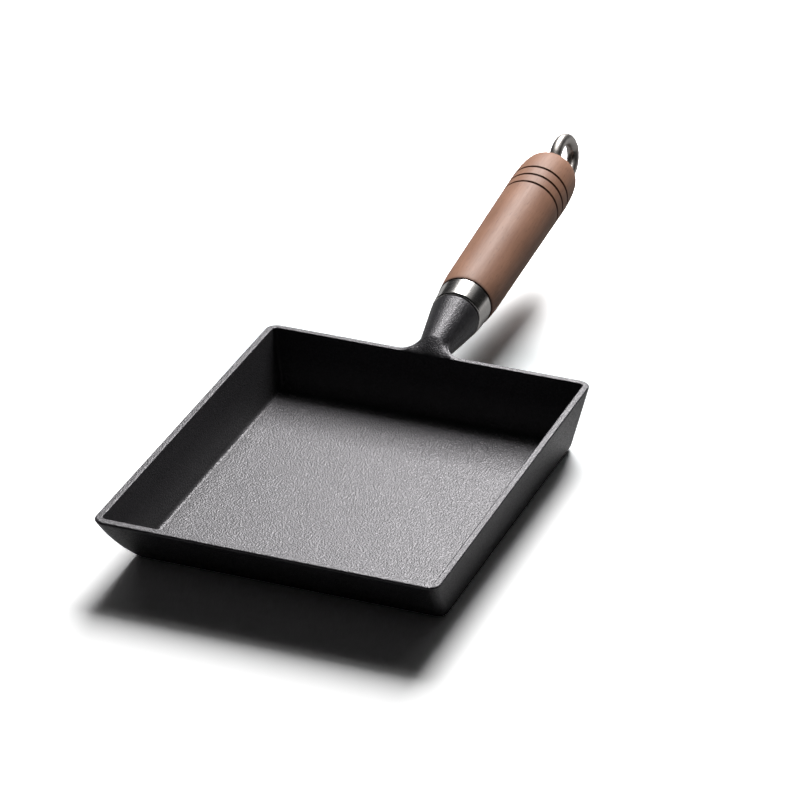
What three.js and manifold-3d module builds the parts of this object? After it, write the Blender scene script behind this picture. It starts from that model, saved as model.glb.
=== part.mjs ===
// Rectangular cast-iron omelette pan with a turned wooden handle.
// Millimetres, +Z up. The origin lies on the pan's flat underside, below the middle of its rim;
// the handle points along +Y.
import * as THREE from 'three';
import { mergeVertices } from 'three/addons/utils/BufferGeometryUtils.js';
import Module from 'manifold-3d';

// Pan: each wall's draft is how far it leans out over its height.
// The front wall leans far out and is bowed, so that an omelette can be rolled and slid off over it.
const RIM_WIDTH = 145;
const RIM_LENGTH = 190.5;
const PAN_HEIGHT = 29.5;
const SIDE_DRAFT = 6.4;
const BACK_DRAFT = 4.8;
const FRONT_DRAFT = 30;
const FRONT_BOW = 2.5;
const WALL = 3;
const FLOOR = 3.5;
const RIM_ROUND = 0.6;
const RIM_CORNER = 3;
const FOOT_CORNER = 6;
const FOOT_ROUND = 6;
const FLOOR_ROUND = 2;

// Handle axis: its height where it passes over the outer edge of the back rim, and its rise
const AXIS_HEIGHT = 28.1;
const AXIS_RISE = THREE.MathUtils.degToRad(6.3);

// Neck: cast with the pan, a cone that grows from the back wall out to the ferrule
const NECK_LENGTH = 32.7;
const NECK_ROOT_RADIUS = 5.8;
const NECK_END_RADIUS = 11.2;
const NECK_END_ROUND = 1.8;
const NECK_FILLET = 8;
const NECK_CREST = 8;
const NECK_ROOT_SQUARENESS = 3.2;

// Eye bolt: one long bolt that holds the handle together, with an oval eye to hang the pan by.
// The eye is bent a little to one side of the rod, and stops turned from upright.
const ROD_RADIUS = 2.5;
const ROD_POINT = 0.8;
const THREAD_DEPTH = 15;
const HOLE_SPARE_DEPTH = 2;
const FLANGE_RADIUS = 6;
const FLANGE_THICKNESS = 1.6;
const STEM_RADIUS = 2.9;
const STEM_LENGTH = 1.2;
const STEM_FILLET = 2;
const EYE_HALF_LENGTH = 11.7;
const EYE_HALF_WIDTH = 8.15;
const EYE_WIRE_RADIUS = 2.8;
const EYE_OFFSET = 1.5;
const EYE_TURN = THREE.MathUtils.degToRad(13.5);

// Ferrule: a thin steel cup, pressed over the grip's spigot and butted against the neck
const FERRULE_LENGTH = 11.2;
const FERRULE_FRONT_RADIUS = 11.3;
const FERRULE_REAR_RADIUS = 12;
const FERRULE_WALL = 0.8;
const FERRULE_LIP_RADIUS = 8;
const FERRULE_EDGE_ROUND = 1;

// Grip: turned wood, eased at the ferrule, swelling towards three burnt grooves and a rounded end
const GRIP_LENGTH = 114;
const GRIP_SHOULDER_RADIUS = 12.3;
const GRIP_NOSE_RADIUS = 13.05;
const GRIP_NOSE_LENGTH = 14;
const GRIP_BELLY_RADIUS = 13.9;
const GRIP_BELLY_TO_END = 18;
const GRIP_END_RADIUS = 11.6;
const GROOVE_COUNT = 3;
const GROOVE_TO_END = 17.1;
const GROOVE_PITCH = 6.6;
const GROOVE_WIDTH = 1.3;
const GROOVE_DEPTH = 0.6;

// Clearances: where faces bear on each other, and round the bolt in its bore
const SEAT_GAP = 0.3;
const BORE_GAP = 0.5;

// Fineness of the curved surfaces
const CORNER_STEPS = 7;
const ROUND_STEPS = 5;
const WALL_STEPS = 4;
const NECK_SIDES = 44;
const TURNED_SIDES = 44;
const BOLT_SIDES = 16;
const EYE_SIDES = 12;
const EYE_STEPS = 40;

// Stations along the handle axis, counted from the back rim
const FERRULE_FRONT = NECK_LENGTH + SEAT_GAP;
const FERRULE_REAR = FERRULE_FRONT + FERRULE_LENGTH;
const GRIP_FRONT = FERRULE_REAR + SEAT_GAP;
const GRIP_END = GRIP_FRONT + GRIP_LENGTH;
const SPIGOT_FRONT = FERRULE_FRONT + FERRULE_WALL + SEAT_GAP;
const FLANGE_SEAT = GRIP_END + SEAT_GAP;
const FLANGE_BACK = FLANGE_SEAT + FLANGE_THICKNESS;
const EYE_FOOT = FLANGE_BACK + STEM_LENGTH + EYE_WIRE_RADIUS;
const ROD_TIP = NECK_LENGTH - THREAD_DEPTH;
const ROD_HOLE_RADIUS = ROD_RADIUS + SEAT_GAP;

// Rounds that follow from a thickness or are limited by it
const RIM_EDGE = Math.min(RIM_ROUND, 0.45 * WALL);
const FERRULE_INNER_ROUND = Math.max(FERRULE_EDGE_ROUND - FERRULE_WALL, 0);
const SPIGOT_ROUND = Math.max(FERRULE_INNER_ROUND - SEAT_GAP, 0);
const STEM_ROOT = Math.min(STEM_FILLET, FLANGE_RADIUS - STEM_RADIUS, STEM_LENGTH + EYE_WIRE_RADIUS);

const wasm = await Module();
wasm.setup();

// A closed geometry as a solid that can be joined and cut
function toSolid(geometry) {
  const bare = geometry.clone();
  bare.deleteAttribute('normal');
  bare.deleteAttribute('uv');
  const merged = mergeVertices(bare, 1e-4);
  return new wasm.Manifold(new wasm.Mesh({
    numProp: 3,
    vertProperties: new Float32Array(merged.attributes.position.array),
    triVerts: new Uint32Array(merged.index.array),
  }));
}

function toGeometry(solid) {
  const { vertProperties, triVerts } = solid.getMesh();
  const geometry = new THREE.BufferGeometry();
  geometry.setAttribute('position', new THREE.BufferAttribute(vertProperties, 3));
  geometry.setIndex(new THREE.BufferAttribute(triVerts, 1));
  geometry.computeVertexNormals();
  return geometry;
}

// Skin over rings of equally many points, closed at both ends by a fan of faces.
// The rings run anticlockwise, seen from the side that the stack of rings grows towards.
function loft(rings) {
  const sides = rings[0].length;
  const points = rings.flat();
  const faces = [];
  rings.slice(1).forEach((ring, level) => {
    for (let i = 0; i < sides; i += 1) {
      const here = level * sides + i;
      const next = level * sides + ((i + 1) % sides);
      faces.push(here, next, next + sides);
      faces.push(here, next + sides, here + sides);
    }
  });
  const capRing = (ring, first, reversed) => {
    const middle = points.length;
    points.push(ring.reduce((sum, p) => sum.add(p), new THREE.Vector3()).divideScalar(sides));
    for (let i = 0; i < sides; i += 1) {
      const a = first + i;
      const b = first + ((i + 1) % sides);
      faces.push(middle, ...(reversed ? [b, a] : [a, b]));
    }
  };
  capRing(rings[0], 0, true);
  capRing(rings[rings.length - 1], (rings.length - 1) * sides, false);
  const geometry = new THREE.BufferGeometry().setFromPoints(points);
  geometry.setIndex(faces);
  return geometry;
}

// An open outline through corners [x, y, radius], with each corner that has a radius rounded by an arc
function roundedOutline(corners) {
  const at = (i) => new THREE.Vector2(corners[i][0], corners[i][1]);
  return corners.flatMap(([x, y, radius], i) => {
    const corner = new THREE.Vector2(x, y);
    if (!radius) return [corner];
    const back = at(i - 1).sub(corner).normalize();
    const ahead = at(i + 1).sub(corner).normalize();
    const halfAngle = Math.acos(back.dot(ahead)) / 2;
    const centre = back.clone().add(ahead).setLength(radius / Math.sin(halfAngle)).add(corner);
    const start = back.multiplyScalar(radius / Math.tan(halfAngle)).add(corner).sub(centre);
    const turn = (Math.PI - 2 * halfAngle) * Math.sign(start.cross(corner.clone().sub(centre)));
    return Array.from({ length: ROUND_STEPS + 1 }, (_, step) => (
      start.clone().rotateAround(new THREE.Vector2(), (turn * step) / ROUND_STEPS).add(centre)
    ));
  });
}

// One wall in section: from the flat underside up the outer skin, over the rim and down to the floor.
// Points are (distance in from the outermost edge of the rim, height).
function wallSection(draft, bow) {
  const levelWall = WALL * Math.hypot(1, draft / PAN_HEIGHT);
  const innerFoot = levelWall + draft * (1 - FLOOR / PAN_HEIGHT);
  const inward = 2 * FOOT_ROUND + 2 * FLOOR_ROUND;
  const outline = roundedOutline([
    [draft + inward, 0],
    [draft, 0, FOOT_ROUND],
    [0, PAN_HEIGHT, RIM_EDGE],
    [levelWall, PAN_HEIGHT, RIM_EDGE],
    [innerFoot, FLOOR, FLOOR_ROUND],
    [innerFoot + inward, FLOOR],
  ]).slice(1, -1);
  const foot = ROUND_STEPS;
  const rim = 3 * ROUND_STEPS + 2;
  const skins = outline.flatMap((point, i) => {
    if (i !== foot && i !== rim) return [point];
    return Array.from({ length: WALL_STEPS }, (_, step) => (
      point.clone().lerp(outline[i + 1], step / WALL_STEPS)
    ));
  });
  const bowed = skins.map(({ x, y }) => {
    const height = y / PAN_HEIGHT;
    return new THREE.Vector2(x - 4 * bow * height * (1 - height), y);
  });
  const edge = Math.min(...bowed.map((point) => point.x));
  return bowed.map(({ x, y }) => new THREE.Vector2(x - edge, y));
}

// The pan without its neck: rings that follow the four wall sections round rounded corners
function panShell() {
  const side = wallSection(SIDE_DRAFT, 0);
  const back = wallSection(BACK_DRAFT, 0);
  const front = wallSection(FRONT_DRAFT, FRONT_BOW);
  const rings = side.map((s, step) => {
    const b = back[step];
    const f = front[step];
    const outerSkin = step < side.length / 2;
    const rimCorner = outerSkin ? RIM_CORNER : Math.max(RIM_CORNER - WALL, RIM_EDGE);
    const footCorner = outerSkin ? FOOT_CORNER : Math.max(FOOT_CORNER - WALL, RIM_EDGE);
    const corner = THREE.MathUtils.lerp(footCorner, rimCorner, s.y / PAN_HEIGHT);
    const x = RIM_WIDTH / 2 - s.x - corner;
    const yBack = RIM_LENGTH / 2 - b.x - corner;
    const yFront = f.x + corner - RIM_LENGTH / 2;
    const corners = [
      { x, y: yFront, turn: -0.5, from: f.y, to: s.y },
      { x, y: yBack, turn: 0, from: s.y, to: b.y },
      { x: -x, y: yBack, turn: 0.5, from: b.y, to: s.y },
      { x: -x, y: yFront, turn: 1, from: s.y, to: f.y },
    ];
    return corners.flatMap((c) => Array.from({ length: CORNER_STEPS + 1 }, (_, k) => {
      const along = k / CORNER_STEPS;
      const angle = Math.PI * (c.turn + along / 2);
      return new THREE.Vector3(
        c.x + corner * Math.cos(angle),
        c.y + corner * Math.sin(angle),
        THREE.MathUtils.lerp(c.from, c.to, along),
      );
    }));
  });
  return loft(rings);
}

// How far along the handle axis the back wall's outer skin lies, at a height above the axis
function backWallShift(above) {
  const lean = BACK_DRAFT / PAN_HEIGHT;
  const rise = Math.sin(AXIS_RISE);
  const run = Math.cos(AXIS_RISE);
  return (above * rise - lean * (PAN_HEIGHT - AXIS_HEIGHT - above * run)) / (run - lean * rise);
}

// The neck along the handle axis (+Y): squarish sections that lie in the back wall and spread into it
// with a fillet, rise from the rim over a crest, and turn into a round cone with a rounded end
function neck() {
  const rootDepth = WALL - RIM_EDGE;
  const rimAboveAxis = (PAN_HEIGHT - AXIS_HEIGHT) / Math.cos(AXIS_RISE);
  const cone = (out) => (
    NECK_ROOT_RADIUS + ((NECK_END_RADIUS - NECK_ROOT_RADIUS) * out) / NECK_LENGTH
  );
  const crestDrop = cone(-rootDepth) - rimAboveAxis;
  const section = (out, spread, shrink) => {
    const near = THREE.MathUtils.clamp((out + rootDepth) / (NECK_CREST + rootDepth), 0, 1);
    const squareness = THREE.MathUtils.lerp(NECK_ROOT_SQUARENESS, 2, near);
    const width = cone(out) + spread - shrink;
    const top = cone(out) - shrink - crestDrop * (1 - near) ** 2;
    const bottom = -width;
    const lean = 1 - Math.max(out, 0) / NECK_LENGTH;
    const bulge = (value) => Math.sign(value) * Math.abs(value) ** (2 / squareness);
    return Array.from({ length: NECK_SIDES }, (_, i) => {
      const angle = (-2 * Math.PI * i) / NECK_SIDES;
      const above = (top + bottom) / 2 + ((top - bottom) / 2) * bulge(Math.sin(angle));
      return new THREE.Vector3(width * bulge(Math.cos(angle)), out + lean * backWallShift(above), above);
    });
  };
  const rings = [section(-rootDepth, NECK_FILLET, 0)];
  for (let step = 1; step <= 2 * ROUND_STEPS; step += 1) {
    const turn = (Math.PI / 2) * (step / (2 * ROUND_STEPS));
    rings.push(section(NECK_FILLET * (1 - Math.cos(turn)), NECK_FILLET * (1 - Math.sin(turn)), 0));
  }
  for (let step = 0; step <= ROUND_STEPS; step += 1) {
    const turn = (Math.PI / 2) * (step / ROUND_STEPS);
    const out = NECK_LENGTH - NECK_END_ROUND * (1 - Math.sin(turn));
    rings.push(section(out, 0, NECK_END_ROUND * (1 - Math.cos(turn))));
  }
  return loft(rings);
}

// A turned piece: outline points (radius, distance along the handle axis)
function turned(outline, sides) {
  return new THREE.LatheGeometry(outline, sides);
}

function placeOnHandle(object) {
  object.position.set(0, RIM_LENGTH / 2, AXIS_HEIGHT);
  object.rotation.x = AXIS_RISE;
  object.updateMatrix();
  return object;
}

// Pan and neck in one casting, with the blind tapped hole for the bolt
function panCasting() {
  const toPan = placeOnHandle(new THREE.Object3D()).matrix;
  const holeEnd = ROD_TIP - HOLE_SPARE_DEPTH;
  const hole = turned(roundedOutline([
    [0, holeEnd - ROD_HOLE_RADIUS / 2],
    [ROD_HOLE_RADIUS, holeEnd],
    [ROD_HOLE_RADIUS, NECK_LENGTH + NECK_END_ROUND],
    [0, NECK_LENGTH + NECK_END_ROUND],
  ]), BOLT_SIDES);
  const castNeck = toSolid(neck().applyMatrix4(toPan));
  return toGeometry(toSolid(panShell()).add(castNeck).subtract(toSolid(hole.applyMatrix4(toPan))));
}

function ferruleRadius(along) {
  const share = (along - FERRULE_FRONT) / FERRULE_LENGTH;
  return THREE.MathUtils.lerp(FERRULE_FRONT_RADIUS, FERRULE_REAR_RADIUS, share);
}

function ferrule() {
  const insideFront = FERRULE_FRONT + FERRULE_WALL;
  const outline = roundedOutline([
    [FERRULE_LIP_RADIUS, FERRULE_FRONT],
    [FERRULE_FRONT_RADIUS, FERRULE_FRONT, FERRULE_EDGE_ROUND],
    [FERRULE_REAR_RADIUS, FERRULE_REAR],
    [FERRULE_REAR_RADIUS - FERRULE_WALL, FERRULE_REAR],
    [ferruleRadius(insideFront) - FERRULE_WALL, insideFront, FERRULE_INNER_ROUND],
    [FERRULE_LIP_RADIUS, insideFront],
  ]);
  return turned([...outline, outline[0].clone()], TURNED_SIDES);
}

// Radius of the grip's outside: eased nose, straight swell to the belly, elliptical end
function gripRadius(along) {
  const fromFront = along - GRIP_FRONT;
  const pastBelly = along - (GRIP_END - GRIP_BELLY_TO_END);
  if (fromFront < GRIP_NOSE_LENGTH) {
    const ease = 1 - fromFront / GRIP_NOSE_LENGTH;
    return GRIP_NOSE_RADIUS - (GRIP_NOSE_RADIUS - GRIP_SHOULDER_RADIUS) * ease ** 2;
  }
  if (pastBelly < 0) {
    const swell = (fromFront - GRIP_NOSE_LENGTH) / (GRIP_LENGTH - GRIP_NOSE_LENGTH - GRIP_BELLY_TO_END);
    return THREE.MathUtils.lerp(GRIP_NOSE_RADIUS, GRIP_BELLY_RADIUS, swell);
  }
  const reach = Math.min(pastBelly / GRIP_BELLY_TO_END, 1);
  return GRIP_END_RADIUS + (GRIP_BELLY_RADIUS - GRIP_END_RADIUS) * Math.sqrt(1 - reach ** 2);
}

function grooveMiddles() {
  return Array.from({ length: GROOVE_COUNT }, (_, i) => GRIP_END - GROOVE_TO_END - i * GROOVE_PITCH);
}

function grooveDepth(along) {
  const depths = grooveMiddles().map((middle) => {
    const across = (along - middle) / (GROOVE_WIDTH / 2);
    return GROOVE_DEPTH * Math.sqrt(Math.max(0, 1 - across ** 2));
  });
  return Math.max(...depths);
}

function grip() {
  const bore = ROD_RADIUS + BORE_GAP;
  const spigot = (along) => ferruleRadius(along) - FERRULE_WALL - SEAT_GAP;
  const belly = GRIP_END - GRIP_BELLY_TO_END;
  const stations = [];
  for (let step = 0; step <= ROUND_STEPS; step += 1) {
    stations.push(GRIP_FRONT + (GRIP_NOSE_LENGTH * step) / ROUND_STEPS);
  }
  grooveMiddles().forEach((middle) => {
    for (let step = 0; step <= 4; step += 1) {
      stations.push(middle - (GROOVE_WIDTH / 2) * Math.cos((Math.PI * step) / 4));
    }
  });
  for (let step = 0; step <= 2 * ROUND_STEPS; step += 1) {
    stations.push(belly + GRIP_BELLY_TO_END * Math.sin((Math.PI / 2) * (step / (2 * ROUND_STEPS))));
  }
  stations.sort((a, b) => a - b);
  const skin = stations.map((along) => new THREE.Vector2(gripRadius(along) - grooveDepth(along), along));
  const outline = [
    ...roundedOutline([
      [bore, SPIGOT_FRONT],
      [spigot(SPIGOT_FRONT), SPIGOT_FRONT, SPIGOT_ROUND],
      [spigot(GRIP_FRONT), GRIP_FRONT],
    ]),
    ...skin,
    new THREE.Vector2(bore, GRIP_END),
    new THREE.Vector2(bore, SPIGOT_FRONT),
  ];
  return turned(outline, TURNED_SIDES);
}

// Centre line of the eye: an oval in the plane of the handle axis, whose foot lies on the stem's end
class EyeCurve extends THREE.Curve {
  getPoint(share, target = new THREE.Vector3()) {
    const angle = 2 * Math.PI * share;
    return target.set(
      0,
      EYE_FOOT + EYE_HALF_LENGTH * (1 - Math.cos(angle)),
      EYE_HALF_WIDTH * Math.sin(angle) - EYE_OFFSET,
    );
  }
}

// Rod, flange and stem in one turned outline, and the eye that the stem runs into
function eyeBolt() {
  const shank = turned(roundedOutline([
    [0, ROD_TIP],
    [ROD_RADIUS - ROD_POINT, ROD_TIP],
    [ROD_RADIUS, ROD_TIP + ROD_POINT],
    [ROD_RADIUS, FLANGE_SEAT],
    [FLANGE_RADIUS, FLANGE_SEAT],
    [FLANGE_RADIUS, FLANGE_BACK],
    [STEM_RADIUS, FLANGE_BACK, STEM_ROOT],
    [STEM_RADIUS, EYE_FOOT],
    [0, EYE_FOOT],
  ]), 2 * BOLT_SIDES);
  const eye = new THREE.TubeGeometry(new EyeCurve(), EYE_STEPS, EYE_WIRE_RADIUS, EYE_SIDES, true);
  eye.rotateY(-EYE_TURN);
  return toGeometry(toSolid(shank).add(toSolid(eye)));
}

function part(name, geometry, material) {
  const mesh = new THREE.Mesh(geometry, new THREE.MeshStandardMaterial(material));
  mesh.name = name;
  return mesh;
}

const handle = placeOnHandle(new THREE.Group());
handle.add(
  part('ferrule', ferrule(), { color: 0xc9c6c2, roughness: 0.12, metalness: 1 }),
  part('wooden_grip', grip(), { color: 0x8a5a42, roughness: 0.45, metalness: 0 }),
  part('eye_bolt', eyeBolt(), { color: 0x8f8b86, roughness: 0.25, metalness: 1 }),
);

const omelettePan = new THREE.Group();
omelettePan.add(
  part('pan_casting', panCasting(), { color: 0x1c1d1f, roughness: 0.55, metalness: 0.6 }),
  handle,
);

export default omelettePan;
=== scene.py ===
"""Looks of a rectangular cast-iron omelette pan with a turned wooden handle.

Every piece is modelled in millimetres in the frame of the CAD part and scaled to metres when its mesh is made.
Along the handle, distances are counted from the back rim, and handle coordinates are (across, along, above).
"""
import math

import bmesh
import bpy
import numpy as np
from mathutils import Matrix, Vector


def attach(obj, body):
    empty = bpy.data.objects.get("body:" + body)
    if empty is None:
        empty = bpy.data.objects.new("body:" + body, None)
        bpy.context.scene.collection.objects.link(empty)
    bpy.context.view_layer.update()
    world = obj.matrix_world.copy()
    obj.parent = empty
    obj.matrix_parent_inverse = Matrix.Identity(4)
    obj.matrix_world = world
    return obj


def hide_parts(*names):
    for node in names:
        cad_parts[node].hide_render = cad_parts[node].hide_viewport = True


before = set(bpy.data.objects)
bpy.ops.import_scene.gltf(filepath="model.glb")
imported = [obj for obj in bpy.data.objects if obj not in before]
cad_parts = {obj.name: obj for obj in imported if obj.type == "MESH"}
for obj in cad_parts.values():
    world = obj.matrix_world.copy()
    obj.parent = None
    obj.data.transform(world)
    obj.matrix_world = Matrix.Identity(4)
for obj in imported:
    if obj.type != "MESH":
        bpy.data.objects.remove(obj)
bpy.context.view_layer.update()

MM = 0.001

# Pan
RIM_WIDTH = 145.0
RIM_LENGTH = 190.5
PAN_HEIGHT = 29.5
SIDE_DRAFT = 6.4
BACK_DRAFT = 4.8
FRONT_DRAFT = 30.0
FRONT_BOW = 2.5
WALL = 3.0
FLOOR = 3.5
RIM_ROUND = 0.6
RIM_CORNER = 5.2
FOOT_CORNER = 3.6
FOOT_ROUND = 3.0
FLOOR_ROUND = 2.0

# Handle axis and neck
AXIS_HEIGHT = 28.1
AXIS_RISE = math.radians(6.3)
NECK_LENGTH = 32.7
NECK_ROOT_RADIUS = 5.8
NECK_END_RADIUS = 11.2
NECK_END_ROUND = 1.8
NECK_FILLET = 8.0
NECK_CREST = 4.2
HOLE_CHAMFER = 0.3
HOLE_SPARE = 2.0
HOLE_POINT_RADIUS = 0.2

# Eye bolt
ROD_RADIUS = 2.5
ROD_POINT = 0.8
THREAD_LENGTH = 15.0
THREAD_PITCH = 0.8
THREAD_DEPTH = 0.4
FLANGE_RADIUS = 6.0
FLANGE_THICKNESS = 1.6
FLANGE_FRONT_ROUND = 0.3
FLANGE_BACK_ROUND = 0.4
STEM_RADIUS = 2.9
STEM_LENGTH = 1.2
STEM_FILLET = 2.0
EYE_HALF_LENGTH = 11.7
EYE_HALF_WIDTH = 8.15
EYE_WIRE_RADIUS = 2.8
EYE_OFFSET = 1.5
EYE_TURN = math.radians(13.5)

# Ferrule
FERRULE_LENGTH = 11.2
FERRULE_FRONT_RADIUS = 11.3
FERRULE_REAR_RADIUS = 12.0
FERRULE_WALL = 0.8
FERRULE_LIP_RADIUS = 8.0
FERRULE_EDGE_ROUND = 1.0
FERRULE_RIM_ROUND = 0.25

# Grip
GRIP_LENGTH = 114.0
GRIP_SHOULDER_RADIUS = 12.3
GRIP_SHOULDER_ROUND = 0.3
GRIP_NOSE_RADIUS = 13.05
GRIP_NOSE_LENGTH = 14.0
GRIP_BELLY_RADIUS = 13.9
GRIP_BELLY_TO_END = 18.0
GRIP_END_RADIUS = 11.6
GRIP_END_ROUND = 0.8
GROOVE_COUNT = 3
GROOVE_TO_END = 17.1
GROOVE_PITCH = 6.6
GROOVE_WIDTH = 1.3
GROOVE_DEPTH = 0.6
BURN_WIDTH = 1.25 * GROOVE_WIDTH
# How fast the dark at the grip's front end fades: painted shade of the gap against the ferrule
GAP_SHADE_FADE = 0.6

# Clearances and stations along the handle
SEAT_GAP = 0.3
BORE_GAP = 0.5
FERRULE_FRONT = NECK_LENGTH + SEAT_GAP
FERRULE_REAR = FERRULE_FRONT + FERRULE_LENGTH
GRIP_FRONT = FERRULE_REAR + SEAT_GAP
GRIP_END = GRIP_FRONT + GRIP_LENGTH
SPIGOT_FRONT = FERRULE_FRONT + FERRULE_WALL + SEAT_GAP
FLANGE_SEAT = GRIP_END + SEAT_GAP
FLANGE_BACK = FLANGE_SEAT + FLANGE_THICKNESS
EYE_FOOT = FLANGE_BACK + STEM_LENGTH + EYE_WIRE_RADIUS
ROD_TIP = NECK_LENGTH - THREAD_LENGTH
ROD_HOLE_RADIUS = ROD_RADIUS + SEAT_GAP
ROD_HOLE_END = ROD_TIP - HOLE_SPARE

# How far the grip and the eye stay inside their solids, whose facets are coarser
TRIM = 0.05

# Fineness of the meshes
CORNER_STEPS = 10
ROUND_STEPS = 8
SKIN_STEPS = 24
NECK_STEPS = 9
TURNED_SIDES = 128
BOLT_SIDES = 48
GRIP_STATIONS = 60
GRIP_END_STATIONS = 24
GROOVE_STATIONS = 17
GROOVE_REACH = 0.8 * GROOVE_WIDTH
STATION_GAP = 0.05
THREAD_STEPS = 8
EYE_STEPS = 96
EYE_SIDES = 32
SHARP_EDGE = math.radians(40)

# Where the neck grows out of the back wall: half the width of the root, and its lowest height
ROOT_HALF_WIDTH = NECK_ROOT_RADIUS + NECK_FILLET
ROOT_COLUMNS = 30
ROOT_BOTTOM = AXIS_HEIGHT - ROOT_HALF_WIDTH
ROOT_STEPS = 14

# How strongly the root's curves follow their end directions, at the fillet and at the crest
FILLET_PULL = 1.15
CREST_PULL = 0.35

# White sheet, in metres
SHEET_RADIUS = 6.0
SHEET_SIDES = 96
SHEET_HEIGHT = -0.0001

# Where the sheet's looks change, each from and to: three places along the pan, and the distance at which it glows
REFLECTION_DIMS = (0.09, 0.14)
HANDLE_STARTS = (0.05, 0.1)
HANDLE_FADES = (0.165, 0.215)
GLOW_GROWS = (0.27, 0.6)

# Colours of the sheet: for light that falls back on the pan, and for the camera before, below and past the handle
SHEET_BOUNCE = (0.22, 0.22, 0.22)
SHEET_FRONT = (1.75, 1.75, 1.75)
# Below the handle the sheet is painted dimmer and bluer, which deepens and greys the handle's shadow: painted
# shade.
SHEET_BELOW = (1.2, 1.24, 1.25)
# Past the handle the sheet is painted brighter, which washes out the end of the handle's shadow: painted light.
SHEET_PAST = (2.3, 2.3, 2.3)

# Share of its white that the sheet shows in metal, beside the pan and farther back
SHARE_BESIDE = 0.5
# Farther back, under the handle, metal shows the sheet dimmer: painted shade in the neck's and ferrule's
# reflections.
SHARE_BACK = 0.3

# Room: what it adds to the light, and how high its bright horizon reaches
ROOM_LIGHT = 0.008
HORIZON_HEIGHT = 0.06

# Lamps: name, place and size in metres, and power in watts; all point at one place on the pan
LAMP_AIM = (0, 0.03, 0)
LAMPS = [
    ("softbox", (-0.14, 1.02, 1.04), (0.58, 0.86), 22.5),
    ("softbox_edge", (-0.14, 1.0, 1.08), (0.74, 1.25), 5),
    ("wide_panel", (-0.25, 0.88, 1.15), (2.2, 1.0), 1.4),
]


def to_world(points):
    """Handle coordinates to pan coordinates, both in millimetres."""
    p = np.asarray(points, float)
    cos, sin = math.cos(AXIS_RISE), math.sin(AXIS_RISE)
    return np.stack([
        p[:, 0],
        RIM_LENGTH / 2 + p[:, 1] * cos - p[:, 2] * sin,
        AXIS_HEIGHT + p[:, 1] * sin + p[:, 2] * cos,
    ], axis=1)


def to_handle(points):
    p = np.asarray(points, float)
    cos, sin = math.cos(AXIS_RISE), math.sin(AXIS_RISE)
    y, z = p[:, 1] - RIM_LENGTH / 2, p[:, 2] - AXIS_HEIGHT
    return np.stack([p[:, 0], y * cos + z * sin, z * cos - y * sin], axis=1)


def rounded(corners):
    """An open outline through corners (x, y, radius), with an arc at each corner that has a radius."""
    outline = []
    for i, (x, y, *radius) in enumerate(corners):
        corner = Vector((x, y))
        if not radius or radius[0] <= 0:
            outline.append(corner)
            continue
        back = (Vector(corners[i - 1][:2]) - corner).normalized()
        ahead = (Vector(corners[i + 1][:2]) - corner).normalized()
        half = back.angle(ahead) / 2
        centre = corner + (back + ahead).normalized() * radius[0] / math.sin(half)
        start = corner + back * radius[0] / math.tan(half) - centre
        end = corner + ahead * radius[0] / math.tan(half) - centre
        turn = start.angle_signed(end)
        for step in range(ROUND_STEPS + 1):
            outline.append(centre + Matrix.Rotation(-turn * step / ROUND_STEPS, 2) @ start)
    return np.array(outline)


def closed_mesh(name, points, faces):
    """A mesh in metres whose faces all look outwards."""
    mesh = bpy.data.meshes.new(name)
    mesh.from_pydata((np.asarray(points) * MM).tolist(), [], faces)
    bm = bmesh.new()
    bm.from_mesh(mesh)
    bmesh.ops.recalc_face_normals(bm, faces=bm.faces)
    bm.to_mesh(mesh)
    bm.free()
    return mesh


def shade_smooth(mesh):
    mesh.polygons.foreach_set("use_smooth", [True] * len(mesh.polygons))
    mesh.set_sharp_from_angle(angle=SHARP_EDGE)


def mesh_piece(name, points, faces, material, node):
    """A closed, smoothly shaded mesh that rides with the pan and stands for a CAD node."""
    mesh = closed_mesh(name, points, faces)
    shade_smooth(mesh)
    mesh.materials.append(material)
    piece = bpy.data.objects.new(name, mesh)
    bpy.context.scene.collection.objects.link(piece)
    normals = piece.modifiers.new("even_normals", "WEIGHTED_NORMAL")
    normals.keep_sharp = True
    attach(piece, "root")
    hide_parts(node)
    return piece


def strip(rows, columns, first=0, closed_rows=False):
    """Quads over a grid of rows of columns points, whose columns close on themselves."""
    faces = []
    for r in range(rows if closed_rows else rows - 1):
        above = (r + 1) % rows
        for c in range(columns):
            right = (c + 1) % columns
            faces.append([first + r * columns + c, first + r * columns + right,
                          first + above * columns + right, first + above * columns + c])
    return faces


def without_loose(faces):
    """The points that the faces use, and the faces with only these points counted."""
    used = sorted({i for face in faces for i in face})
    place = {old: new for new, old in enumerate(used)}
    return used, [[place[i] for i in face] for face in faces]


# Cast iron pan

def wall_section(draft, bow):
    """One wall from the underside over the rim to the floor: (distance in from the rim's edge, height)."""
    level_wall = WALL * math.hypot(1, draft / PAN_HEIGHT)
    inner_foot = level_wall + draft * (1 - FLOOR / PAN_HEIGHT)
    inward = 2 * (FOOT_ROUND + FLOOR_ROUND)
    outline = rounded([
        (draft + inward, 0),
        (draft, 0, FOOT_ROUND),
        (0, PAN_HEIGHT, RIM_ROUND),
        (level_wall, PAN_HEIGHT, RIM_ROUND),
        (inner_foot, FLOOR, FLOOR_ROUND),
        (inner_foot + inward, FLOOR),
    ])[1:-1]
    foot, rim = ROUND_STEPS, 3 * ROUND_STEPS + 2
    points = []
    for i, point in enumerate(outline):
        if i in (foot, rim):
            share = np.linspace(0, 1, SKIN_STEPS, endpoint=False)[:, None]
            points.extend(point + (outline[i + 1] - point) * share)
        else:
            points.append(point)
    points = np.array(points)
    height = points[:, 1] / PAN_HEIGHT
    points[:, 0] -= 4 * bow * height * (1 - height)
    points[:, 0] -= points[:, 0].min()
    return points


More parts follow.
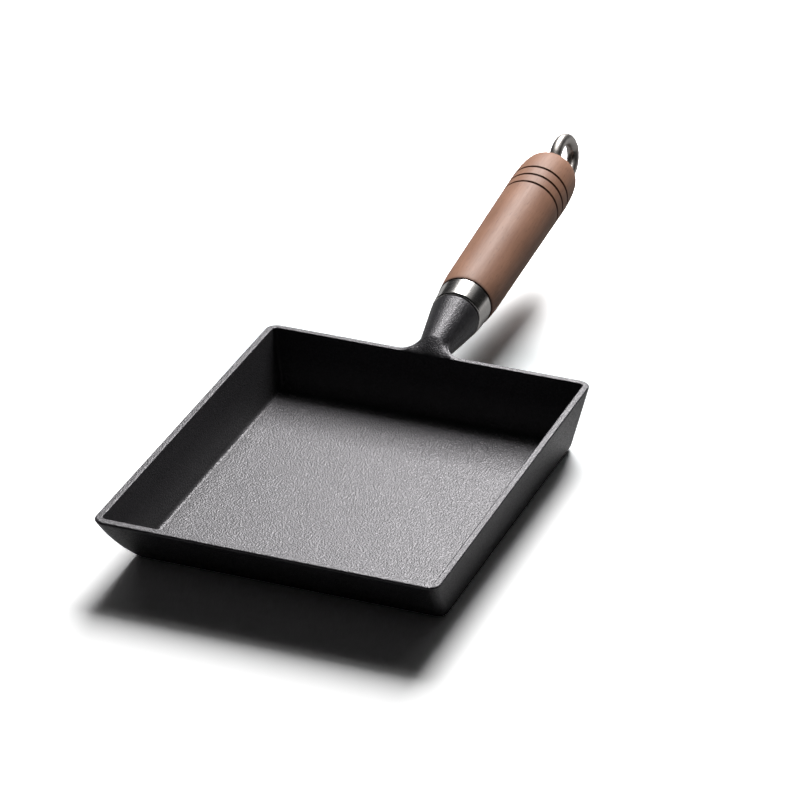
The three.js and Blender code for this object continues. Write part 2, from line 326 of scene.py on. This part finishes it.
def pan_ring(step, side, back, front):
    """One closed ring of the pan, and the columns of the neck's root on it."""
    s, b, f = side[step], back[step], front[step]
    inset = 0 if step < len(side) / 2 else WALL
    radius = FOOT_CORNER + (RIM_CORNER - FOOT_CORNER) * s[1] / PAN_HEIGHT - inset
    x = RIM_WIDTH / 2 - s[0] - radius
    y_back = RIM_LENGTH / 2 - b[0] - radius
    y_front = f[0] + radius - RIM_LENGTH / 2
    corners = [
        (x, y_front, -90, f[1], s[1]),
        (x, y_back, 0, s[1], b[1]),
        (-x, y_back, 90, b[1], s[1]),
        (-x, y_front, 180, s[1], f[1]),
    ]
    ring = []
    for i, (centre_x, centre_y, turn, z_from, z_to) in enumerate(corners):
        for k in range(CORNER_STEPS + 1):
            along = k / CORNER_STEPS
            angle = math.radians(turn + 90 * along)
            ring.append((centre_x + radius * math.cos(angle), centre_y + radius * math.sin(angle),
                         z_from + (z_to - z_from) * along))
        if i == 1:
            ring.extend((across, y_back + radius, b[1])
                        for across in np.linspace(ROOT_HALF_WIDTH, -ROOT_HALF_WIDTH, ROOT_COLUMNS + 1))
    return ring


def back_wall_shift(above):
    """How far along the handle axis the back wall's outer skin lies, at a height above the axis."""
    lean = BACK_DRAFT / PAN_HEIGHT
    rise, run = math.sin(AXIS_RISE), math.cos(AXIS_RISE)
    return (above * rise - lean * (PAN_HEIGHT - AXIS_HEIGHT - above * run)) / (run - lean * rise)


def neck_ring(out, angles, shrink=0.0):
    """A round section of the neck, leaning with the back wall at its root and square to the axis at its end."""
    radius = NECK_ROOT_RADIUS + (NECK_END_RADIUS - NECK_ROOT_RADIUS) * out / NECK_LENGTH - shrink
    above = radius * np.sin(angles)
    along = out + (1 - out / NECK_LENGTH) * back_wall_shift(above)
    return to_world(np.stack([radius * np.cos(angles), along, above], axis=1))


def bolt_hole_rings(angles):
    """The neck's end face and the blind hole in it, down to the hole's point."""
    profile = [(ROD_HOLE_RADIUS + HOLE_CHAMFER, NECK_LENGTH), (ROD_HOLE_RADIUS, NECK_LENGTH - HOLE_CHAMFER),
               (ROD_HOLE_RADIUS, ROD_HOLE_END), (HOLE_POINT_RADIUS, ROD_HOLE_END - ROD_HOLE_RADIUS / 2)]
    return [to_world(np.stack([r * np.cos(angles), np.full_like(angles, along), r * np.sin(angles)], axis=1))
            for r, along in profile]


def root_start(grid, loop, first_row, last_row, first_column, last_column):
    """Where the neck's root starts on the pan: its points, the directions in which its skin leaves them, and how
    much each belongs to the crest at the rim."""
    leaving, crest = [], []
    for r, c in loop:
        sideways = grid[r, c][0] / ROOT_HALF_WIDTH
        step = np.zeros(3)
        if r == first_row:
            step += grid[r, c] - grid[r - 1, c]
        if c == first_column:
            step += grid[r, c] - grid[r, c - 1]
        if c == last_column:
            step += grid[r, c] - grid[r, c + 1]
        if r == last_row:
            up = grid[r, c] - grid[r + 1, c]
            step = up / np.linalg.norm(up) * (1 - sideways**4) - np.array([sideways**3, 0, 0])
        leaving.append(step / np.linalg.norm(step))
        crest.append(1 - sideways**4 if r == last_row else 0)
    return np.array([grid[r, c] for r, c in loop]), np.array(leaving), np.array(crest)


def neck_rings(start, leaving, crest):
    """Rings from the root's start over its fillet and crest, along the neck and into the bolt's hole."""
    local = to_handle(start)
    middle = (local[:, 2].max() + local[:, 2].min()) / 2
    angles = np.arctan2(local[:, 2] - middle, local[:, 0])
    root_end = NECK_FILLET + (NECK_CREST - NECK_FILLET) * crest
    first_ring = neck_ring(root_end, angles)
    arriving = neck_ring(root_end + 1, angles) - first_ring
    arriving /= np.linalg.norm(arriving, axis=1)[:, None]
    span = np.linalg.norm(first_ring - start, axis=1)
    pull = (span * (FILLET_PULL + (CREST_PULL - FILLET_PULL) * crest))[:, None]
    rings = []
    for t in np.linspace(0, 1, ROOT_STEPS + 1)[1:]:
        rings.append((2 * t**3 - 3 * t**2 + 1) * start + (t**3 - 2 * t**2 + t) * pull * leaving
                     + (3 * t**2 - 2 * t**3) * first_ring + (t**3 - t**2) * pull * arriving)
    rings += [neck_ring(root_end + (NECK_LENGTH - NECK_END_ROUND - root_end) * share, angles)
              for share in np.linspace(0, 1, NECK_STEPS + 1)[1:]]
    for turn in np.linspace(0, math.pi / 2, ROUND_STEPS + 1)[1:]:
        rings.append(neck_ring(NECK_LENGTH - NECK_END_ROUND * (1 - math.sin(turn)), angles,
                               NECK_END_ROUND * (1 - math.cos(turn))))
    return rings + bolt_hole_rings(angles)


def cast_pan(material):
    """Rings from the underside over the rim to the pan's floor, and the neck out of a gap in the back wall."""
    side, back = wall_section(SIDE_DRAFT, 0), wall_section(BACK_DRAFT, 0)
    front = wall_section(FRONT_DRAFT, FRONT_BOW)
    grid = np.array([pan_ring(step, side, back, front) for step in range(len(side))])
    rows, columns = grid.shape[:2]
    first_column = 2 * (CORNER_STEPS + 1)
    last_column = first_column + ROOT_COLUMNS
    first_row = int(np.searchsorted(back[:len(back) // 2, 1], ROOT_BOTTOM))
    last_row = 3 * ROUND_STEPS + 1 + SKIN_STEPS
    gap = {(r, c) for r in range(first_row, last_row) for c in range(first_column, last_column)}
    index = lambda r, c: r * columns + c % columns
    faces = [[index(r, c), index(r, c + 1), index(r + 1, c + 1), index(r + 1, c)]
             for r in range(rows - 1) for c in range(columns) if (r, c) not in gap]
    faces.append([index(0, c) for c in range(columns)])
    faces.append([index(rows - 1, c) for c in range(columns)])

    loop = [(first_row, c) for c in range(first_column, last_column)]
    loop += [(r, last_column) for r in range(first_row, last_row)]
    loop += [(last_row, c) for c in range(last_column, first_column, -1)]
    loop += [(r, first_column) for r in range(last_row, first_row, -1)]
    rings = neck_rings(*root_start(grid, loop, first_row, last_row, first_column, last_column))

    points = np.concatenate([grid.reshape(-1, 3), *rings])
    around = len(loop)
    neck_first = rows * columns
    loop_index = [index(r, c) for r, c in loop]
    faces += [[loop_index[k], loop_index[(k + 1) % around],
               neck_first + (k + 1) % around, neck_first + k] for k in range(around)]
    faces += strip(len(rings), around, neck_first)
    faces.append([neck_first + (len(rings) - 1) * around + k for k in range(around)])
    used, faces = without_loose(faces)
    pan = mesh_piece("cast_pan", points[used], faces, material, "pan_casting")
    inside = [1.0 if last_row <= i // columns < rows else 0.0 for i in used]
    pan.data.attributes.new("inside", "FLOAT", "POINT").data.foreach_set("value", inside)


# Turned pieces

def turned(outline, sides, closed):
    """Points and faces of an outline (radius, along) turned round the handle axis."""
    angles = np.linspace(0, 2 * math.pi, sides, endpoint=False)
    rings = [np.stack([r * np.sin(angles), np.full(sides, along), r * np.cos(angles)], axis=1)
             for r, along in outline]
    faces = strip(len(rings), sides, closed_rows=closed)
    if not closed:
        faces.append(list(range(sides)))
        faces.append([(len(rings) - 1) * sides + k for k in range(sides)])
    return to_world(np.concatenate(rings)), faces


def ferrule_radius(along):
    share = (along - FERRULE_FRONT) / FERRULE_LENGTH
    return FERRULE_FRONT_RADIUS + (FERRULE_REAR_RADIUS - FERRULE_FRONT_RADIUS) * share


def steel_ferrule(material):
    """A thin cup with a hole for the rod in its bottom, which faces the neck."""
    inside_front = FERRULE_FRONT + FERRULE_WALL
    outline = rounded([
        (FERRULE_LIP_RADIUS, inside_front),
        (FERRULE_LIP_RADIUS, FERRULE_FRONT, FERRULE_RIM_ROUND),
        (FERRULE_FRONT_RADIUS, FERRULE_FRONT, FERRULE_EDGE_ROUND),
        (FERRULE_REAR_RADIUS, FERRULE_REAR, FERRULE_RIM_ROUND),
        (FERRULE_REAR_RADIUS - FERRULE_WALL, FERRULE_REAR, FERRULE_RIM_ROUND),
        (ferrule_radius(inside_front) - FERRULE_WALL, inside_front, FERRULE_EDGE_ROUND - FERRULE_WALL),
        (FERRULE_LIP_RADIUS + FERRULE_RIM_ROUND, inside_front),
    ])
    points, faces = turned(outline, TURNED_SIDES, closed=True)
    mesh_piece("steel_ferrule", points, faces, material, "ferrule")


def grip_radius(along):
    """Outside of the grip without its grooves: eased nose, swell to the belly, elliptical end."""
    from_front = along - GRIP_FRONT
    past_belly = along - (GRIP_END - GRIP_BELLY_TO_END)
    if from_front < GRIP_NOSE_LENGTH:
        ease = 1 - from_front / GRIP_NOSE_LENGTH
        return GRIP_NOSE_RADIUS - (GRIP_NOSE_RADIUS - GRIP_SHOULDER_RADIUS) * ease**2
    if past_belly < 0:
        swell = (from_front - GRIP_NOSE_LENGTH) / (GRIP_LENGTH - GRIP_NOSE_LENGTH - GRIP_BELLY_TO_END)
        return GRIP_NOSE_RADIUS + (GRIP_BELLY_RADIUS - GRIP_NOSE_RADIUS) * swell
    reach = min(past_belly / GRIP_BELLY_TO_END, 1)
    return GRIP_END_RADIUS + (GRIP_BELLY_RADIUS - GRIP_END_RADIUS) * math.sqrt(1 - reach**2)


def groove_share(along, width):
    """1 in the middle of a groove, 0 outside it."""
    share = 0.0
    for i in range(GROOVE_COUNT):
        across = (along - (GRIP_END - GROOVE_TO_END - i * GROOVE_PITCH)) / (width / 2)
        share = max(share, math.sqrt(max(0, 1 - across**2)))
    return share


def turned_grip(material):
    """The grip with its bore, its spigot inside the ferrule, how far its grooves are burnt, and its front end
    painted dark as gap shade.
    """
    bore = ROD_RADIUS + BORE_GAP
    spigot = lambda along: ferrule_radius(along) - FERRULE_WALL - SEAT_GAP
    belly = GRIP_END - GRIP_BELLY_TO_END
    stations = list(np.linspace(GRIP_FRONT, belly, GRIP_STATIONS))
    stations += [belly + GRIP_BELLY_TO_END * math.sin(turn)
                 for turn in np.linspace(0, math.pi / 2, GRIP_END_STATIONS)]
    for i in range(GROOVE_COUNT):
        middle = GRIP_END - GROOVE_TO_END - i * GROOVE_PITCH
        stations += [middle - GROOVE_REACH * math.cos(turn) for turn in np.linspace(0, math.pi, GROOVE_STATIONS)]
    skin = [(grip_radius(u) - TRIM - GROOVE_DEPTH * groove_share(u, GROOVE_WIDTH), u)
            for u in sorted(set(stations))]
    end_round = rounded([skin[-2], (GRIP_END_RADIUS, GRIP_END, GRIP_END_ROUND), (bore, GRIP_END)])[1:-1]
    skin = [point for point in skin if point[1] < end_round[0][1] - STATION_GAP]
    front = rounded([
        (bore, SPIGOT_FRONT),
        (spigot(SPIGOT_FRONT), SPIGOT_FRONT, FERRULE_EDGE_ROUND - FERRULE_WALL - SEAT_GAP),
        (spigot(GRIP_FRONT), GRIP_FRONT),
        (GRIP_SHOULDER_RADIUS, GRIP_FRONT, GRIP_SHOULDER_ROUND),
        skin[3],
    ])[:-1]
    skin = [point for point in skin if point[1] > front[-1][1] + STATION_GAP]
    outline = [*front, *skin, *end_round, (bore, GRIP_END)]
    points, faces = turned(outline, TURNED_SIDES, closed=True)
    grip = mesh_piece("turned_grip", points, faces, material, "wooden_grip")
    along = to_handle(np.array([v.co for v in grip.data.vertices]) / MM)[:, 1]
    # Dark in the grooves is burn; dark at the front end, against the ferrule, is painted shade of the gap.
    burn_and_gap_shade = [max(groove_share(u, BURN_WIDTH), math.exp(-max(u - GRIP_FRONT, 0) / GAP_SHADE_FADE)) for u in along]
    grip.data.attributes.new("burn_and_gap_shade", "FLOAT", "POINT").data.foreach_set("value", burn_and_gap_shade)


# Eye bolt

def threaded_rod():
    """Rod, flange and stem as one turned outline, with a thread cut into the rod's end."""
    shank = rounded([
        (ROD_RADIUS, ROD_TIP + THREAD_LENGTH),
        (ROD_RADIUS, FLANGE_SEAT),
        (FLANGE_RADIUS, FLANGE_SEAT, FLANGE_FRONT_ROUND),
        (FLANGE_RADIUS, FLANGE_BACK, FLANGE_BACK_ROUND),
        (STEM_RADIUS, FLANGE_BACK, STEM_FILLET),
        (STEM_RADIUS, EYE_FOOT),
    ])
    tip = [(ROD_RADIUS - ROD_POINT, ROD_TIP), (ROD_RADIUS - ROD_POINT / 2, ROD_TIP + ROD_POINT / 2)]
    thread = [(ROD_RADIUS, along) for along in
              np.arange(ROD_TIP + ROD_POINT, ROD_TIP + THREAD_LENGTH, THREAD_PITCH / THREAD_STEPS)]
    points, faces = turned([*tip, *thread, *shank], BOLT_SIDES, closed=False)
    local = to_handle(points)
    for row in range(len(tip), len(tip) + len(thread)):
        for k in range(BOLT_SIDES):
            point = local[row * BOLT_SIDES + k]
            turn = point[1] / THREAD_PITCH - k / BOLT_SIDES
            depth = THREAD_DEPTH * abs(2 * (turn % 1) - 1)
            point[[0, 2]] *= (ROD_RADIUS - depth) / ROD_RADIUS
    return to_world(local), faces


def eye_loop():
    """The oval eye, a round wire bent in a plane through the handle axis."""
    rings = []
    for angle in np.linspace(0, 2 * math.pi, EYE_STEPS, endpoint=False):
        centre = np.array([0, EYE_FOOT + EYE_HALF_LENGTH * (1 - math.cos(angle)),
                           EYE_HALF_WIDTH * math.sin(angle) - EYE_OFFSET])
        tangent = np.array([0, EYE_HALF_LENGTH * math.sin(angle), EYE_HALF_WIDTH * math.cos(angle)])
        tangent /= np.linalg.norm(tangent)
        outward = np.array([0, -tangent[2], tangent[1]])
        around = np.linspace(0, 2 * math.pi, EYE_SIDES, endpoint=False)
        rings.append(centre + (EYE_WIRE_RADIUS - TRIM) * (
            np.cos(around)[:, None] * outward + np.sin(around)[:, None] * np.array([1.0, 0, 0])))
    points = np.concatenate(rings)
    cos, sin = math.cos(EYE_TURN), math.sin(EYE_TURN)
    turned_points = np.stack([points[:, 0] * cos - points[:, 2] * sin, points[:, 1],
                              points[:, 0] * sin + points[:, 2] * cos], axis=1)
    return to_world(turned_points), strip(EYE_STEPS, EYE_SIDES, closed_rows=True)


def hanging_eye_bolt(material):
    """Rod and eye joined into one skin, as they are forged from one piece."""
    points, faces = threaded_rod()
    bolt = mesh_piece("hanging_eye_bolt", points, faces, material, "eye_bolt")
    eye = bpy.data.objects.new("eye", closed_mesh("eye", *eye_loop()))
    bpy.context.scene.collection.objects.link(eye)
    join = bolt.modifiers.new("join_eye", "BOOLEAN")
    join.operation = "UNION"
    join.solver = "EXACT"
    join.object = eye
    bolt.modifiers.move(1, 0)
    bpy.context.view_layer.update()
    joined = bpy.data.meshes.new_from_object(bolt.evaluated_get(bpy.context.evaluated_depsgraph_get()))
    bolt.modifiers.remove(join)
    bolt.data = joined
    bpy.data.objects.remove(eye)
    shade_smooth(joined)


# Materials

def new_material(name):
    material = bpy.data.materials.new(name)
    material.use_nodes = True
    nodes, links = material.node_tree.nodes, material.node_tree.links
    return material, nodes, links, nodes["Principled BSDF"]


def noise(nodes, links, vector, scale, detail=2.0, roughness=0.5):
    node = nodes.new("ShaderNodeTexNoise")
    node.inputs["Scale"].default_value = scale
    node.inputs["Detail"].default_value = detail
    node.inputs["Roughness"].default_value = roughness
    links.new(vector, node.inputs["Vector"])
    return node.outputs["Fac"]


def map_range(nodes, links, value, low, high, to_low, to_high):
    node = nodes.new("ShaderNodeMapRange")
    for socket, number in zip(("From Min", "From Max", "To Min", "To Max"), (low, high, to_low, to_high)):
        node.inputs[socket].default_value = number
    links.new(value, node.inputs["Value"])
    return node.outputs["Result"]


def arithmetic(nodes, links, operation, *values):
    node = nodes.new("ShaderNodeMath")
    node.operation = operation
    for socket, value in zip(node.inputs, values):
        if isinstance(value, (int, float)):
            socket.default_value = value
        else:
            links.new(value, socket)
    return node.outputs["Value"]


def mix_colour(nodes, links, factor, a, b):
    node = nodes.new("ShaderNodeMix")
    node.data_type = "RGBA"
    links.new(factor, node.inputs["Factor"])
    for socket, colour in ((node.inputs[6], a), (node.inputs[7], b)):
        if isinstance(colour, tuple):
            socket.default_value = (*colour, 1)
        else:
            links.new(colour, socket)
    return node.outputs[2]


def bump(nodes, links, height, distance, strength=1.0):
    node = nodes.new("ShaderNodeBump")
    node.inputs["Distance"].default_value = distance
    node.inputs["Strength"].default_value = strength
    links.new(height, node.inputs["Height"])
    return node.outputs["Normal"]


def handle_coordinates(nodes, links, stretch):
    """Texture coordinates along the handle, with the along direction stretched."""
    place = nodes.new("ShaderNodeMapping")
    place.vector_type = "TEXTURE"
    place.inputs["Location"].default_value = (0, RIM_LENGTH / 2 * MM, AXIS_HEIGHT * MM)
    place.inputs["Rotation"].default_value = (AXIS_RISE, 0, 0)
    place.inputs["Scale"].default_value = stretch
    coordinates = nodes.new("ShaderNodeTexCoord")
    links.new(coordinates.outputs["Object"], place.inputs["Vector"])
    return place.outputs["Vector"]


def cast_iron():
    """Seasoned iron with the grain of the sand mould: black and half glossy, dull on the inner walls, and coarser
    on the pan's floor, whose colour is greyer: partly worn seasoning, partly painted light that brightens the
    floor."""
    material, nodes, links, shader = new_material("seasoned_iron")
    where = nodes.new("ShaderNodeTexCoord").outputs["Object"]
    coarse, fine = (noise(nodes, links, where, scale, 0.0) for scale in (1500, 1950))
    speckle = noise(nodes, links, where, 1400, 0.0)
    season = noise(nodes, links, where, 40, 3.0)
    shader.inputs["Specular IOR Level"].default_value = 0.7
    shader.inputs["Specular Tint"].default_value = (1, 0.955, 1, 1)
    height = nodes.new("ShaderNodeSeparateXYZ")
    links.new(where, height.inputs["Vector"])
    above_floor = map_range(nodes, links, height.outputs["Z"], 0.006, 0.02, 0.0, 1.0)
    inside = nodes.new("ShaderNodeAttribute")
    inside.attribute_name = "inside"
    # The floor's lighter grey is partly worn seasoning and partly painted light that keeps the floor as bright as
    # lit from above.
    worn_grey_and_painted_light = mix_colour(nodes, links, season, (0.070, 0.069, 0.072), (0.090, 0.088, 0.092))
    black = mix_colour(nodes, links, season, (0.022, 0.022, 0.025), (0.036, 0.035, 0.039))
    cooking_side = mix_colour(nodes, links, above_floor, worn_grey_and_painted_light, black)
    links.new(mix_colour(nodes, links, inside.outputs["Fac"], black, cooking_side), shader.inputs["Base Color"])
    inner_wall = arithmetic(nodes, links, "MULTIPLY", inside.outputs["Fac"], above_floor)
    polish = map_range(nodes, links, speckle, 0.3, 0.7, 0.31, 0.49)
    links.new(arithmetic(nodes, links, "MULTIPLY_ADD", inner_wall, 0.25, polish), shader.inputs["Roughness"])
    grain = bump(nodes, links, mix_colour(nodes, links, above_floor, coarse, fine), 0.00023)
    links.new(map_range(nodes, links, above_floor, 0.0, 1.0, 1.0, 0.75), grain.node.inputs["Strength"])
    links.new(grain, shader.inputs["Normal"])
    return material


def polished_steel():
    """Bright steel with the faint rings of its polishing."""
    material, nodes, links, shader = new_material("polished_steel")
    rings = noise(nodes, links, handle_coordinates(nodes, links, (8, 0.05, 8)), 90, 3.0, 0.7)
    smear = noise(nodes, links, handle_coordinates(nodes, links, (1, 1, 1)), 160, 2.0)
    shader.inputs["Metallic"].default_value = 1
    silver = mix_colour(nodes, links, smear, (0.56, 0.54, 0.52), (0.64, 0.62, 0.60))
    links.new(silver, shader.inputs["Base Color"])
    links.new(map_range(nodes, links, rings, 0.3, 0.7, 0.2, 0.28), shader.inputs["Roughness"])
    links.new(bump(nodes, links, rings, 0.00002, 0.5), shader.inputs["Normal"])
    return material


def satin_steel():
    """Drawn wire, dull silver and slightly dappled."""
    material, nodes, links, shader = new_material("satin_steel")
    where = nodes.new("ShaderNodeTexCoord").outputs["Object"]
    dapple = noise(nodes, links, where, 500, 3.0)
    shader.inputs["Metallic"].default_value = 1
    silver = mix_colour(nodes, links, dapple, (0.36, 0.335, 0.315), (0.45, 0.425, 0.40))
    links.new(silver, shader.inputs["Base Color"])
    links.new(map_range(nodes, links, dapple, 0.3, 0.7, 0.36, 0.46), shader.inputs["Roughness"])
    links.new(bump(nodes, links, dapple, 0.00003, 0.6), shader.inputs["Normal"])
    return material


def oiled_wood():
    """Close-grained brown wood: fine fibres and pores along the grip, soft mottling, burnt grooves, painted gap
    shade at its front.
    """
    material, nodes, links, shader = new_material("oiled_wood")
    fibres = noise(nodes, links, handle_coordinates(nodes, links, (1, 18, 1)), 1100, 4.0, 0.6)
    pores = noise(nodes, links, handle_coordinates(nodes, links, (1, 9, 1)), 2300, 1.0)
    mottle = noise(nodes, links, handle_coordinates(nodes, links, (1, 2.4, 1)), 75, 3.0)
    ground = mix_colour(nodes, links, map_range(nodes, links, mottle, 0.3, 0.7, 0, 1),
                        (0.34, 0.165, 0.1), (0.46, 0.235, 0.148))
    streaked = mix_colour(nodes, links, map_range(nodes, links, fibres, 0.35, 0.7, 0, 0.25),
                          ground, (0.23, 0.105, 0.064))
    pored = mix_colour(nodes, links, map_range(nodes, links, pores, 0.62, 0.74, 0, 0.35),
                       streaked, (0.14, 0.062, 0.038))
    # Burn darkens the grooves; at the grip's front end the same mark is painted shade of the gap against the
    # ferrule.
    burn_and_gap_shade = nodes.new("ShaderNodeAttribute")
    burn_and_gap_shade.attribute_name = "burn_and_gap_shade"
    burnt_and_gap_shaded = mix_colour(nodes, links, burn_and_gap_shade.outputs["Fac"], pored, (0.045, 0.018, 0.011))
    links.new(burnt_and_gap_shaded, shader.inputs["Base Color"])
    oiled = map_range(nodes, links, fibres, 0.3, 0.7, 0.54, 0.61)
    dull = arithmetic(nodes, links, "MULTIPLY_ADD", burn_and_gap_shade.outputs["Fac"], 0.4, oiled)
    links.new(dull, shader.inputs["Roughness"])
    shader.inputs["Specular IOR Level"].default_value = 0.5
    links.new(bump(nodes, links, fibres, 0.00003), shader.inputs["Normal"])
    return material


# Stage

def white_where_seen(nodes, links, share_in_metal):
    """1 for what the camera sees, a share of that for what metal shows, and 0 for what only lights the pan."""
    rays = nodes.new("ShaderNodeLightPath").outputs
    mirrored = arithmetic(nodes, links, "ADD", rays["Is Glossy Ray"], rays["Is Transmission Ray"])
    seen = arithmetic(nodes, links, "MULTIPLY_ADD", mirrored, share_in_metal, rays["Is Camera Ray"])
    return seen, mirrored, rays["Is Camera Ray"]


def white_floor():
    """A white sheet that takes the pan's shadow and glows white away from the pan. Under the handle the camera
    sees it painted dimmer and bluer, which deepens the handle's shadow, and past the handle brighter, which
    shortens it;
    farther back, metal shows it dimmer, painted shade in the neck's and ferrule's reflections.
    """
    mesh = bpy.data.meshes.new("floor")
    turns = [2 * math.pi * k / SHEET_SIDES for k in range(SHEET_SIDES)]
    rim = [(SHEET_RADIUS * math.cos(turn), SHEET_RADIUS * math.sin(turn), SHEET_HEIGHT) for turn in turns]
    mesh.from_pydata(rim, [], [list(range(SHEET_SIDES))])
    floor = bpy.data.objects.new("floor", mesh)
    bpy.context.scene.collection.objects.link(floor)
    material = bpy.data.materials.new("white_sheet")
    material.use_nodes = True
    nodes, links = material.node_tree.nodes, material.node_tree.links
    nodes.clear()
    sheet = nodes.new("ShaderNodeBsdfDiffuse")
    place = nodes.new("ShaderNodeNewGeometry").outputs["Position"]
    depth = nodes.new("ShaderNodeSeparateXYZ")
    links.new(place, depth.inputs["Vector"])
    # Dimmer in metal farther back: painted shade of the handle's shadow in the neck's and ferrule's reflections.
    share_in_metal = map_range(nodes, links, depth.outputs["Y"], *REFLECTION_DIMS, SHARE_BESIDE, SHARE_BACK)
    seen, mirrored, camera_ray = white_where_seen(nodes, links, share_in_metal)
    in_metal = mix_colour(nodes, links, mirrored, SHEET_BOUNCE, share_in_metal)
    below_handle = map_range(nodes, links, depth.outputs["Y"], *HANDLE_STARTS, 0.0, 1.0)
    past_handle = map_range(nodes, links, depth.outputs["Y"], *HANDLE_FADES, 0.0, 1.0)
    # Painted shade under the handle and painted light past it: the camera sees the sheet dimmer and bluer there,
    # brighter beyond.
    near = mix_colour(nodes, links, below_handle, SHEET_FRONT, SHEET_BELOW)
    white = mix_colour(nodes, links, past_handle, near, SHEET_PAST)
    colour = mix_colour(nodes, links, camera_ray, in_metal, white)
    links.new(colour, sheet.inputs["Color"])
    distance = nodes.new("ShaderNodeVectorMath")
    distance.operation = "LENGTH"
    links.new(place, distance.inputs[0])
    far = map_range(nodes, links, distance.outputs["Value"], *GLOW_GROWS, 0.0, 1.0)
    glow = nodes.new("ShaderNodeEmission")
    links.new(arithmetic(nodes, links, "MULTIPLY", far, seen), glow.inputs["Strength"])
    both = nodes.new("ShaderNodeAddShader")
    links.new(sheet.outputs["BSDF"], both.inputs[0])
    links.new(glow.outputs["Emission"], both.inputs[1])
    links.new(both.outputs["Shader"], nodes.new("ShaderNodeOutputMaterial").inputs["Surface"])
    mesh.materials.append(material)


def softbox(name, place, size, power):
    light = bpy.data.lights.new(name, "AREA")
    light.shape = "RECTANGLE"
    light.size, light.size_y = size
    light.energy = power
    lamp = bpy.data.objects.new(name, light)
    lamp.location = place
    lamp.rotation_euler = (Vector(LAMP_AIM) - Vector(place)).to_track_quat("-Z", "Y").to_euler()
    lamp.visible_camera = False
    bpy.context.scene.collection.objects.link(lamp)


def studio():
    """A softbox above and behind the pan, dimmer towards its edge, with a weak wide panel, in a dark room that
    looks white to the camera."""
    for lamp in LAMPS:
        softbox(*lamp)
    world = bpy.data.worlds.new("room")
    world.use_nodes = True
    nodes, links = world.node_tree.nodes, world.node_tree.links
    direction = nodes.new("ShaderNodeSeparateXYZ")
    links.new(nodes.new("ShaderNodeTexCoord").outputs["Generated"], direction.inputs["Vector"])
    horizon = map_range(nodes, links, direction.outputs["Z"], 0.0, HORIZON_HEIGHT, SHARE_BACK, 0.0)
    seen, _, _ = white_where_seen(nodes, links, horizon)
    strength = map_range(nodes, links, seen, 0.0, 1.0, ROOM_LIGHT, 1.0)
    links.new(strength, nodes["Background"].inputs["Strength"])
    nodes["Background"].inputs["Color"].default_value = (1, 1, 1, 1)
    bpy.context.scene.world = world


def camera():
    """A long lens, a little rolled, as the photograph was taken."""
    azimuth, elevation, roll = math.radians(19.77), math.radians(27.19), math.radians(1.29)
    distance, across, above = 1.9406, 0.02129, 0.04631
    focal_pixels, frame_pixels, sensor = 4750, 800, 36.0
    right = Vector((math.cos(azimuth), math.sin(azimuth), 0))
    back = Vector((math.sin(azimuth) * math.cos(elevation), -math.cos(azimuth) * math.cos(elevation),
                   math.sin(elevation)))
    up = back.cross(right)
    rolled_right = right * math.cos(roll) + up * math.sin(roll)
    rolled_up = up * math.cos(roll) - right * math.sin(roll)
    data = bpy.data.cameras.new("camera")
    data.sensor_width = sensor
    data.lens = sensor * focal_pixels / frame_pixels
    data.clip_start, data.clip_end = 0.05, 50
    view = bpy.data.objects.new("camera", data)
    turn = Matrix((rolled_right, rolled_up, back)).transposed().to_4x4()
    place = rolled_right * across + rolled_up * above + back * distance
    view.matrix_world = Matrix.Translation(place) @ turn
    bpy.context.scene.collection.objects.link(view)
    bpy.context.scene.camera = view


camera()
studio()
white_floor()
cast_pan(cast_iron())
steel_ferrule(polished_steel())
turned_grip(oiled_wood())
hanging_eye_bolt(satin_steel())

bpy.context.scene.view_settings.view_transform = "Standard"
